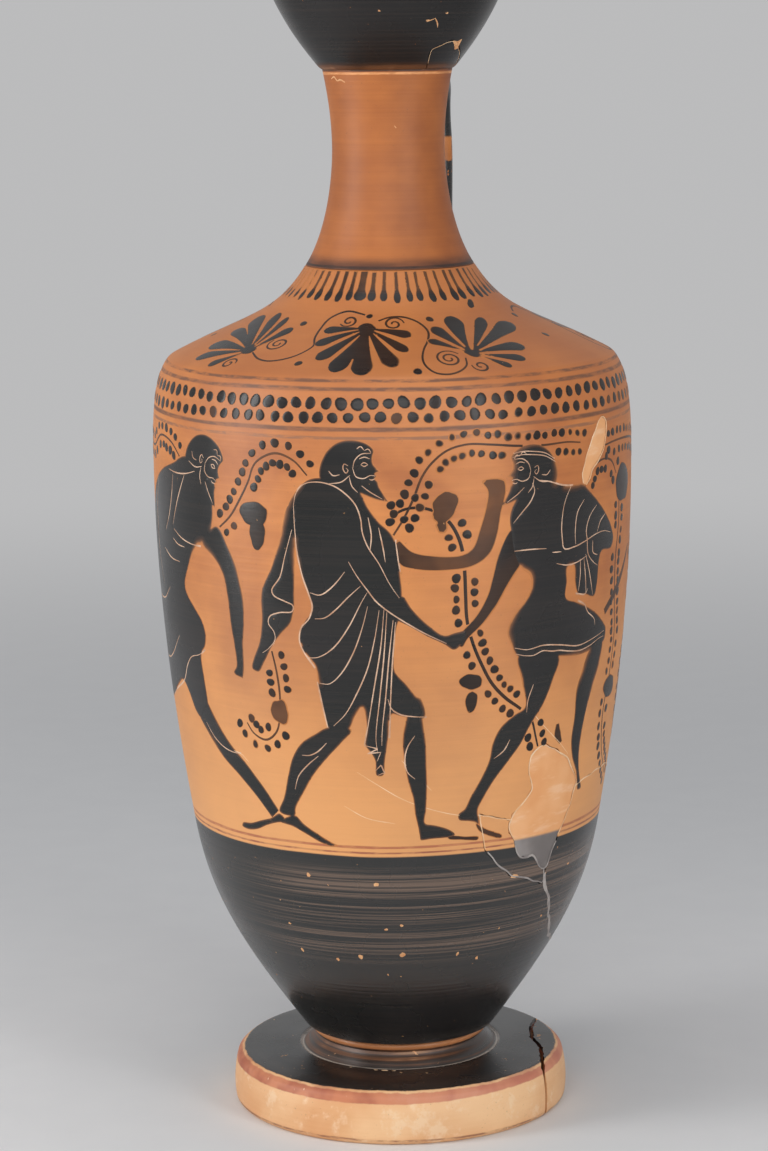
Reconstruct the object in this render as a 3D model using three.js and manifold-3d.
// A Greek black-figure oil vase of the shoulder lekythos shape, mended from its sherds.
// Millimetres, +Z up. The origin is the centre of the foot's resting face, the front of
// the painted wall looks along -Y, and the handle stands at the back, at +Y.
import * as THREE from 'three';
import { mergeVertices } from 'three/addons/utils/BufferGeometryUtils.js';
import Module from 'manifold-3d';

const wasm = await Module();
wasm.setup();

// Driving sizes: the stack of thrown pieces, from the resting face to the rim
const FOOT_EDGE_HEIGHT = 14.0;
const STEM_HEIGHT = 4.2;
const FILLET_HEIGHT = 2.6;
const WALL_HEIGHT = 178.2;
const SHOULDER_HEIGHT = 23.0;
const NECK_HEIGHT = 49.6;
const MOUTH_HEIGHT = 36.4;

// Driving sizes: outer radii
const FOOT_RADIUS = 44.4;
const STEM_RADIUS = 25.2;
const FILLET_RADIUS = 23.2;
const BASE_RADIUS = 25.0;
const BODY_RADIUS = 61.9;
const SHOULDER_EDGE_INSET = 4.5;
const COLLAR_RADIUS = 21.6;
const NECK_WAIST_RADIUS = 14.4;
const NECK_TOP_RADIUS = 16.6;
const MOUTH_FOOT_RADIUS = 17.6;
const MOUTH_RADIUS = 33.2;

// Walls, bores and the lips that centre one thrown piece on the next
const BODY_WALL = 4.6;
const FLOOR_THICKNESS = 7.0;
const NECK_BORE_RADIUS = 8.6;
const DRIP_HOLE_RADIUS = 7.4;
const MOUTH_WALL = 5.0;
const RIM_WIDTH = 6.2;
const LIP_WALL = 2.6;
const LIP_DEPTH = 3.4;
const TENON_RADIUS = 17.0;
const TENON_DEPTH = 1.6;
const FOOT_RECESS_RADIUS = 30.5;
const FOOT_RECESS_DEPTH = 3.2;
const SEAT_CLEARANCE = 0.3;

// The strap handle, from the neck's top down to the shoulder
const HANDLE_WIDTH = 21.5;
const HANDLE_THICKNESS = 7.6;
const HANDLE_TAPER = 3.0;
const HANDLE_ROOT_FLARE = 5.0;
const HANDLE_REACH = 34.0;
const HANDLE_CREST_DROP = 4.2;
const HANDLE_HOLLOW = 0.7;
const ROOT_BURIAL = 4.0;

// The mends
const BREAK_GAP = 0.45;
const CHIP_DEPTH = 4.6;
const BREAK_STEP_DEGREES = 3.0;

const TURN_STEPS = 48;
const DEGREE = Math.PI / 180;

// Heights of the joints, worked out from the stack
const STEM_FOOT_Z = FOOT_EDGE_HEIGHT + 0.8;
const STEM_TOP_Z = FOOT_EDGE_HEIGHT + STEM_HEIGHT;
const BASE_Z = STEM_TOP_Z + FILLET_HEIGHT;
const EDGE_Z = BASE_Z + WALL_HEIGHT;
const COLLAR_Z = EDGE_Z + SHOULDER_HEIGHT;
const NECK_TOP_Z = COLLAR_Z + NECK_HEIGHT;
const RIM_Z = NECK_TOP_Z + MOUTH_HEIGHT;
const EDGE_RADIUS = BODY_RADIUS - SHOULDER_EDGE_INSET;

// A profile point: distance from the axis, and height
const at = (radius, z) => new THREE.Vector2(radius, z);

// A Bezier stretch from a to d. Its two inner points are given as shares of the way
// from a to d, across and up, so the curve keeps its fullness when a size changes.
function stretch(a, shares, d, steps) {
  const [b, c] = shares.map(([across, up]) => at(
    a.x + across * (d.x - a.x),
    a.y + up * (d.y - a.y),
  ));
  return new THREE.CubicBezierCurve(a, b, c, d).getPoints(steps);
}

// Stretches laid end to end, each shared end point kept once
function chain(...stretches) {
  return stretches.reduce((all, next) => all.concat(all.length ? next.slice(1) : next), []);
}

// The profile moved sideways by a wall's thickness, towards the inside of the vessel
function inset(points, thickness) {
  return points.map((point, i) => {
    const before = points[Math.max(i - 1, 0)];
    const after = points[Math.min(i + 1, points.length - 1)];
    const along = after.clone().sub(before).normalize();
    return at(point.x - along.y * thickness, point.y + along.x * thickness);
  });
}

// A closed triangle mesh as a solid: vertices merged, flat triangles dropped
function solidOf(geometry) {
  const bare = geometry.index ? geometry.toNonIndexed() : geometry.clone();
  for (const name of Object.keys(bare.attributes)) {
    if (name !== 'position') bare.deleteAttribute(name);
  }
  const merged = mergeVertices(bare, 1e-4);
  const kept = [];
  const index = merged.index.array;
  for (let i = 0; i < index.length; i += 3) {
    const [a, b, c] = [index[i], index[i + 1], index[i + 2]];
    if (a !== b && b !== c && c !== a) kept.push(a, b, c);
  }
  const solid = new wasm.Manifold(new wasm.Mesh({
    numProp: 3,
    vertProperties: new Float32Array(merged.attributes.position.array),
    triVerts: new Uint32Array(kept),
  }));
  if (solid.volume() > 0) return solid;
  for (let i = 0; i < kept.length; i += 3) [kept[i], kept[i + 1]] = [kept[i + 1], kept[i]];
  return new wasm.Manifold(new wasm.Mesh({
    numProp: 3,
    vertProperties: new Float32Array(merged.attributes.position.array),
    triVerts: new Uint32Array(kept),
  }));
}

// A profile turned about the axis, as on the potter's wheel
function turned(profile) {
  return solidOf(new THREE.LatheGeometry(profile, TURN_STEPS).rotateX(Math.PI / 2));
}

// A closed surface from an outline and a rule that puts its points at the near and far
// cap, with the outline's edges joining the caps
function prism(drawn, placeNear, placeFar) {
  const outline = THREE.ShapeUtils.isClockWise(drawn) ? drawn.toReversed() : drawn;
  const caps = THREE.ShapeUtils.triangulateShape(outline, []);
  const near = outline.map(placeNear);
  const far = outline.map(placeFar);
  const corners = [];
  for (const [a, b, c] of caps) corners.push(near[a], near[c], near[b], far[a], far[b], far[c]);
  outline.forEach((_, i) => {
    const j = (i + 1) % outline.length;
    corners.push(near[i], near[j], far[j], near[i], far[j], far[i]);
  });
  return solidOf(new THREE.BufferGeometry().setFromPoints(corners));
}

// An outline pushed outwards by a gap, each corner along the mean of its two edges
function grown(outline, gap) {
  const side = THREE.ShapeUtils.isClockWise(outline) ? -1 : 1;
  return outline.map((point, i) => {
    const before = outline[(i + outline.length - 1) % outline.length];
    const after = outline[(i + 1) % outline.length];
    const a = point.clone().sub(before).normalize();
    const b = after.clone().sub(point).normalize();
    const normal = at(a.y + b.y, -a.x - b.x).normalize().multiplyScalar(side);
    const lean = Math.max(normal.dot(at(a.y, -a.x).multiplyScalar(side)), 0.5);
    return point.clone().addScaledVector(normal, gap / lean);
  });
}

// An outline with its long edges split, so that a cut follows the round of the wall
function split(outline, longest) {
  return outline.flatMap((point, i) => {
    const next = outline[(i + 1) % outline.length];
    const pieces = Math.ceil(point.distanceTo(next) / longest);
    return Array.from({ length: pieces }, (_, k) => point.clone().lerp(next, k / pieces));
  });
}

// A cutter whose walls run to the axis. The outline is in degrees round from the front
// and in heights; the gap is measured at the given radius.
function radialCutter(outline, radius, gap, innerRadius, outerRadius) {
  const perDegree = radius * DEGREE;
  const flat = outline.map(([degrees, z]) => at(degrees * perDegree, z));
  const stepped = split(flat, BREAK_STEP_DEGREES * perDegree);
  const edge = gap ? grown(stepped, gap) : stepped;
  const place = (reach) => (point) => {
    const angle = point.x / radius;
    return new THREE.Vector3(reach * Math.sin(angle), -reach * Math.cos(angle), point.y);
  };
  return prism(edge, place(innerRadius), place(outerRadius));
}

// A cutter with upright walls, whose outline is in degrees round from the front and in
// distances from the axis
function uprightCutter(outline, gap, bottom, top) {
  const flat = outline.map(([degrees, reach]) => at(
    reach * Math.sin(degrees * DEGREE),
    -reach * Math.cos(degrees * DEGREE),
  ));
  const edge = gap ? grown(flat, gap) : flat;
  const place = (z) => (point) => new THREE.Vector3(point.x, point.y, z);
  return prism(edge, place(bottom), place(top));
}

// Foot: a disc with a hollow underside, a low stem and the tenon that the body sits on
function footSolid() {
  const edge = stretch(
    at(FOOT_RADIUS - 0.5, 0.9),
    [[-1.0, 0.3], [-0.5, 0.7]],
    at(FOOT_RADIUS - 1.2, FOOT_EDGE_HEIGHT - 1.4),
    4,
  );
  const stem = stretch(
    at(STEM_RADIUS, STEM_FOOT_Z),
    [[0.25, 0.4], [0.9, 0.5]],
    at(FILLET_RADIUS - 0.9, STEM_TOP_Z),
    3,
  );
  return turned([
    at(0, FOOT_RECESS_DEPTH),
    at(FOOT_RECESS_RADIUS - 5.0, FOOT_RECESS_DEPTH),
    at(FOOT_RECESS_RADIUS, 0),
    at(FOOT_RADIUS - 1.6, 0),
    ...edge,
    at(FOOT_RADIUS - 2.8, FOOT_EDGE_HEIGHT),
    at(STEM_RADIUS + 1.4, STEM_FOOT_Z),
    at(STEM_RADIUS + 0.9, STEM_FOOT_Z - 0.6),
    ...stem,
    at(TENON_RADIUS, STEM_TOP_Z),
    at(TENON_RADIUS, BASE_Z + TENON_DEPTH),
    at(0, BASE_Z + TENON_DEPTH),
  ]);
}

// Fillet: the ring of clay laid over the joint of foot and body
function filletSolid() {
  const bore = TENON_RADIUS + SEAT_CLEARANCE;
  const bead = stretch(
    at(FILLET_RADIUS - 0.9, STEM_TOP_Z),
    [[0, 0.1], [0, 0.9]],
    at(FILLET_RADIUS - 0.9, BASE_Z),
    4,
  ).map((point, i, all) => at(point.x + 0.9 * Math.sin(Math.PI * i / (all.length - 1)), point.y));
  return turned([at(bore, STEM_TOP_Z), ...bead, at(bore, BASE_Z), at(bore, STEM_TOP_Z)]);
}

// The wall's outer profile, from the base over the shoulder to the collar
function wallProfile() {
  const belly = at(BASE_RADIUS + 0.778 * (BODY_RADIUS - BASE_RADIUS), BASE_Z + 0.332 * WALL_HEIGHT);
  const widest = at(BODY_RADIUS, BASE_Z + 0.848 * WALL_HEIGHT);
  const edge = at(EDGE_RADIUS, EDGE_Z);
  return chain(
    stretch(at(BASE_RADIUS, BASE_Z), [[0.67, 0.44], [0.90, 0.66]], belly, 7),
    stretch(belly, [[0.61, 0.324], [1, 0.662]], widest, 4),
    stretch(widest, [[0, 0.29], [-0.07, 0.80]], edge, 5),
    stretch(edge, [[0.534, 0.439], [0.772, 0.426]], at(COLLAR_RADIUS, COLLAR_Z), 7),
  );
}

// Body: wall, shoulder and floor in one thrown piece, open at the collar
function bodySolid() {
  const outer = wallProfile();
  const floorZ = BASE_Z + FLOOR_THICKNESS;
  const throat = lipRadius() + SEAT_CLEARANCE;
  const inner = inset(outer, BODY_WALL)
    .filter((point, i) => i % 2 === 0 && point.y > floorZ + 2 && point.x > throat)
    .reverse();
  const socket = TENON_RADIUS + SEAT_CLEARANCE;
  return turned([
    at(0, BASE_Z + TENON_DEPTH + SEAT_CLEARANCE),
    at(socket, BASE_Z + TENON_DEPTH + SEAT_CLEARANCE),
    at(socket, BASE_Z),
    ...outer,
    at(throat, COLLAR_Z),
    at(throat, COLLAR_Z - LIP_DEPTH - SEAT_CLEARANCE),
    ...inner,
    at(inner.at(-1).x - 6.0, floorZ),
    at(0, floorZ),
  ]);
}

// The neck's lower lip stands this far from the axis, inside the collar
function lipRadius() {
  return COLLAR_RADIUS - BODY_WALL;
}

// The neck's outer profile, from the collar to the mouth
function neckProfile() {
  const waist = at(NECK_WAIST_RADIUS, COLLAR_Z + 0.605 * NECK_HEIGHT);
  return chain(
    stretch(at(COLLAR_RADIUS, COLLAR_Z), [[0.71, 0.26], [1, 0.69]], waist, 6),
    stretch(waist, [[0, 0.33], [0.36, 0.65]], at(NECK_TOP_RADIUS, NECK_TOP_Z), 3),
  );
}

// Neck: a waisted tube whose lower lip drops into the collar
function neckSolid() {
  const lip = lipRadius();
  const flare = stretch(
    at(NECK_BORE_RADIUS, COLLAR_Z + 0.5 * NECK_HEIGHT),
    [[0, 0.5], [0.5, 0.9]],
    at(lip - LIP_WALL, COLLAR_Z - LIP_DEPTH),
    3,
  );
  return turned([
    at(lip, COLLAR_Z - LIP_DEPTH),
    at(lip, COLLAR_Z),
    ...neckProfile(),
    at(NECK_BORE_RADIUS + 1.2, NECK_TOP_Z),
    at(NECK_BORE_RADIUS + 1.2, NECK_TOP_Z - LIP_DEPTH - SEAT_CLEARANCE),
    at(NECK_BORE_RADIUS, NECK_TOP_Z - LIP_DEPTH - 3.0),
    ...flare,
    at(lip, COLLAR_Z - LIP_DEPTH),
  ]);
}

// Mouth: a flaring cup on a low foot, with a flat rim and a drip hole in its floor
function mouthSolid() {
  const ledge = at(MOUTH_FOOT_RADIUS, NECK_TOP_Z + 0.7);
  const outer = stretch(ledge, [[0.637, 0.339], [0.987, 0.683]], at(MOUTH_RADIUS, RIM_Z - 0.8), 7);
  const bowl = stretch(
    at(MOUTH_RADIUS - RIM_WIDTH, RIM_Z - 0.8),
    [[0.06, 0.42], [0.30, 0.86]],
    at(DRIP_HOLE_RADIUS + 1.2, NECK_TOP_Z + MOUTH_WALL + 1.6),
    6,
  );
  const lip = NECK_BORE_RADIUS + 1.2 - SEAT_CLEARANCE;
  return turned([
    at(lip, NECK_TOP_Z - LIP_DEPTH),
    at(lip, NECK_TOP_Z),
    at(MOUTH_FOOT_RADIUS - 0.8, NECK_TOP_Z),
    ...outer,
    at(MOUTH_RADIUS - 0.8, RIM_Z),
    at(MOUTH_RADIUS - RIM_WIDTH + 0.8, RIM_Z),
    ...bowl,
    at(DRIP_HOLE_RADIUS, NECK_TOP_Z + MOUTH_WALL),
    at(DRIP_HOLE_RADIUS, NECK_TOP_Z - LIP_DEPTH),
    at(lip, NECK_TOP_Z - LIP_DEPTH),
  ]);
}

// The shoulder's height at a distance from the axis, read off the wall's profile
function shoulderHeight(reach) {
  const points = wallProfile().filter((point) => point.y >= EDGE_Z);
  const i = points.findIndex((point) => point.x <= reach);
  const [outer, inner] = [points[i - 1], points[i]];
  const share = (outer.x - reach) / (outer.x - inner.x);
  return outer.y + share * (inner.y - outer.y);
}

// Handle: a flat strap, lightly hollowed along its outer face, that leaves the neck
// below the mouth, turns down at full reach and spreads onto the shoulder. Its ends are
// cut to the neck and the shoulder that they are pressed on.
function handleSolid() {
  const rootZ = NECK_TOP_Z - 9.5;
  const crestZ = NECK_TOP_Z - HANDLE_CREST_DROP;
  const landing = HANDLE_REACH + 4.0;
  const landingZ = shoulderHeight(landing);
  const line = new THREE.CatmullRomCurve3([
    new THREE.Vector3(0, NECK_TOP_RADIUS - ROOT_BURIAL, rootZ - 1.6),
    new THREE.Vector3(0, NECK_TOP_RADIUS + 3.0, rootZ + 2.6),
    new THREE.Vector3(0, HANDLE_REACH - 9.0, crestZ),
    new THREE.Vector3(0, HANDLE_REACH - 1.6, crestZ - 4.0),
    new THREE.Vector3(0, HANDLE_REACH, crestZ - 14.0),
    new THREE.Vector3(0, HANDLE_REACH + 0.6, (crestZ + landingZ) / 2 - 4.0),
    new THREE.Vector3(0, landing - 1.0, landingZ + 9.0),
    new THREE.Vector3(0, landing + 1.4, landingZ - ROOT_BURIAL),
  ], false, 'centripetal');
  const steps = 26;
  const around = 16;
  const rings = [];
  for (let i = 0; i <= steps; i += 1) {
    const t = i / steps;
    const centre = line.getPoint(t);
    const along = line.getTangent(t);
    const outward = new THREE.Vector3(0, along.z, -along.y).multiplyScalar(-1);
    const root = Math.max(1 - t * 6, (t - 0.80) * 5, 0);
    const width = HANDLE_WIDTH + HANDLE_TAPER * (1 - t) + HANDLE_ROOT_FLARE * root * root;
    const depth = HANDLE_THICKNESS + 0.4 * HANDLE_ROOT_FLARE * root * root;
    rings.push(Array.from({ length: around }, (_, k) => {
      const turn = 2 * Math.PI * k / around;
      const [c, s] = [Math.cos(turn), Math.sin(turn)];
      const across = 0.5 * width * Math.sign(c) * Math.abs(c) ** 0.75;
      const hollow = s > 0 ? HANDLE_HOLLOW * Math.cos(Math.PI * across / width) ** 2 : 0;
      const out = 0.5 * depth * Math.sign(s) * Math.abs(s) ** 0.75 - hollow;
      return new THREE.Vector3(across, 0, 0).add(centre).addScaledVector(outward, out);
    }));
  }
  const corners = [];
  const face = (a, b, c) => corners.push(a, b, c);
  for (let i = 0; i < steps; i += 1) {
    for (let k = 0; k < around; k += 1) {
      const m = (k + 1) % around;
      face(rings[i][k], rings[i][m], rings[i + 1][m]);
      face(rings[i][k], rings[i + 1][m], rings[i + 1][k]);
    }
  }
  const [first, last] = [rings[0], rings[steps]];
  for (let k = 1; k < around - 1; k += 1) {
    face(first[0], first[k + 1], first[k]);
    face(last[0], last[k], last[k + 1]);
  }
  const strap = solidOf(new THREE.BufferGeometry().setFromPoints(corners));
  const vessel = chain(
    inset(wallProfile(), -SEAT_CLEARANCE),
    inset(neckProfile(), -SEAT_CLEARANCE),
  );
  const core = turned([at(0, BASE_Z), ...vessel, at(0, NECK_TOP_Z)]);
  return strap.subtract(core);
}

// Breaks in the wall: degrees round from the front, and height as a share of the wall
const wallBreak = (points) => points.map(([degrees, share]) => [
  degrees,
  BASE_Z + share * WALL_HEIGHT,
]);

// The large plaster fill, low on the right of the front
const WALL_FILL = wallBreak([
  [46.6, 0.464], [50.3, 0.470], [54.0, 0.461], [58.7, 0.444], [62.4, 0.422], [65.2, 0.400],
  [63.8, 0.377], [62.4, 0.355], [60.6, 0.335], [58.2, 0.310], [56.8, 0.290], [55.9, 0.276],
  [53.1, 0.287], [50.8, 0.304], [45.2, 0.307], [43.8, 0.321], [42.9, 0.335], [40.5, 0.355],
  [41.5, 0.374], [44.7, 0.388], [47.5, 0.411], [46.1, 0.433], [45.6, 0.456],
]);

// The narrow plaster fill under the shoulder. Its sides are the two edges of one break.
const SLIVER_FILL = wallBreak([
  [59.8, 0.838], [59.5, 0.851], [60.6, 0.871], [62.6, 0.889], [64.6, 0.906], [66.6, 0.919],
  [68.3, 0.925], [70.2, 0.920], [70.0, 0.899], [68.6, 0.881], [66.1, 0.865], [63.6, 0.855],
  [62.0, 0.841], [60.8, 0.834],
]);

// The small sherd between the thin crack and the fill
const BELLY_SHERD = wallBreak([
  [31.7, 0.380], [34.0, 0.329], [37.3, 0.306], [42.9, 0.282], [48.4, 0.272], [56.4, 0.257],
  [55.9, 0.276], [52.2, 0.315], [46.6, 0.332], [42.9, 0.366], [40.1, 0.367],
]);

// The large sherd right of the main crack
const SIDE_SHERD = wallBreak([
  [56.2, 0.273], [56.8, 0.256], [58.7, 0.244], [61.5, 0.226], [65.2, 0.198], [69.9, 0.172],
  [74.5, 0.153], [83.8, 0.136], [97.8, 0.125], [109.9, 0.147], [116.5, 0.220], [112.7, 0.310],
  [101.5, 0.377], [85.7, 0.405], [71.7, 0.402], [65.2, 0.397], [61.5, 0.388], [56.8, 0.332],
]);

// The chip of the mouth's lower edge: degrees, and height as a share of the mouth
const MOUTH_SHERD = [
  [46.5, -0.03], [41.5, 0.126], [48.1, 0.159], [55.6, 0.192], [62.8, 0.170], [74.6, 0.107],
  [86.0, 0.040], [92.0, -0.03],
].map(([degrees, share]) => [degrees, NECK_TOP_Z + share * MOUTH_HEIGHT]);

// The broken edge of the foot: degrees, and distance from the axis as a share of the foot
const FOOT_SHERD = [
  [69.0, 1.06], [70.0, 0.985], [75.0, 0.940], [88.0, 0.876], [101.0, 0.812], [114.0, 0.837],
  [124.0, 0.930], [129.0, 1.06], [99.0, 1.50],
].map(([degrees, share]) => [degrees, share * FOOT_RADIUS]);

// Parts a whole into its sherds. Each sherd keeps the break's gap to those before it.
function parted(whole, outlines, cutter) {
  let rest = whole;
  const sherds = outlines.map((outline) => {
    const sherd = rest.intersect(cutter(outline, 0));
    rest = rest.subtract(cutter(outline, BREAK_GAP));
    return sherd;
  });
  return [rest, ...sherds];
}

const wallCutter = (outline, gap) => radialCutter(
  outline,
  BODY_RADIUS,
  gap,
  0.35 * BODY_RADIUS,
  1.25 * BODY_RADIUS,
);
// The mouth's chip stops short of the lip that enters the neck
const mouthCutter = (outline, gap) => radialCutter(
  outline,
  MOUTH_FOOT_RADIUS,
  gap,
  0.1 * MOUTH_FOOT_RADIUS,
  1.25 * MOUTH_RADIUS,
).subtract(turned([
  at(0, NECK_TOP_Z - MOUTH_HEIGHT),
  at(MOUTH_FOOT_RADIUS - CHIP_DEPTH - gap, NECK_TOP_Z - MOUTH_HEIGHT),
  at(MOUTH_FOOT_RADIUS - CHIP_DEPTH - gap, RIM_Z),
  at(0, RIM_Z),
]));
const footCutter = (outline, gap) => uprightCutter(outline, gap, -1.0, FOOT_EDGE_HEIGHT + 5.0);

const material = (color, roughness) => new THREE.MeshStandardMaterial({
  color,
  roughness,
  metalness: 0,
});
const blackGloss = material(0x17130f, 0.28);
const orangeClay = material(0xc9753a, 0.62);
const paleClay = material(0xdf9e62, 0.68);
const plaster = material(0xe0b084, 0.80);

const vase = new THREE.Group();

// A solid as a named mesh with its finish
function add(name, solid, finish) {
  const { numProp, vertProperties, triVerts } = solid.getMesh();
  const geometry = new THREE.BufferGeometry();
  const positions = new Float32Array(vertProperties.length / numProp * 3);
  for (let i = 0; i < positions.length / 3; i += 1) {
    for (let k = 0; k < 3; k += 1) positions[3 * i + k] = vertProperties[i * numProp + k];
  }
  geometry.setAttribute('position', new THREE.BufferAttribute(positions, 3));
  geometry.setIndex(new THREE.BufferAttribute(new Uint32Array(triVerts), 1));
  const mesh = new THREE.Mesh(geometry, finish);
  mesh.name = name;
  vase.add(mesh);
}

const [body, wallFill, bellySherd, sideSherd, sliverFill] = parted(
  bodySolid(),
  [WALL_FILL, BELLY_SHERD, SIDE_SHERD, SLIVER_FILL],
  wallCutter,
);
const [mouth, mouthSherd] = parted(mouthSolid(), [MOUTH_SHERD], mouthCutter);
const [foot, footSherd] = parted(footSolid(), [FOOT_SHERD], footCutter);

add('foot', foot, paleClay);
add('foot_sherd', footSherd, paleClay);
add('foot_fillet', filletSolid(), orangeClay);
add('body', body, orangeClay);
add('belly_sherd', bellySherd, blackGloss);
add('side_sherd', sideSherd, blackGloss);
add('wall_fill', wallFill, plaster);
add('sliver_fill', sliverFill, plaster);
add('neck', neckSolid(), orangeClay);
add('mouth', mouth, blackGloss);
add('mouth_sherd', mouthSherd, blackGloss);
add('handle', handleSolid(), blackGloss);

export default vase;
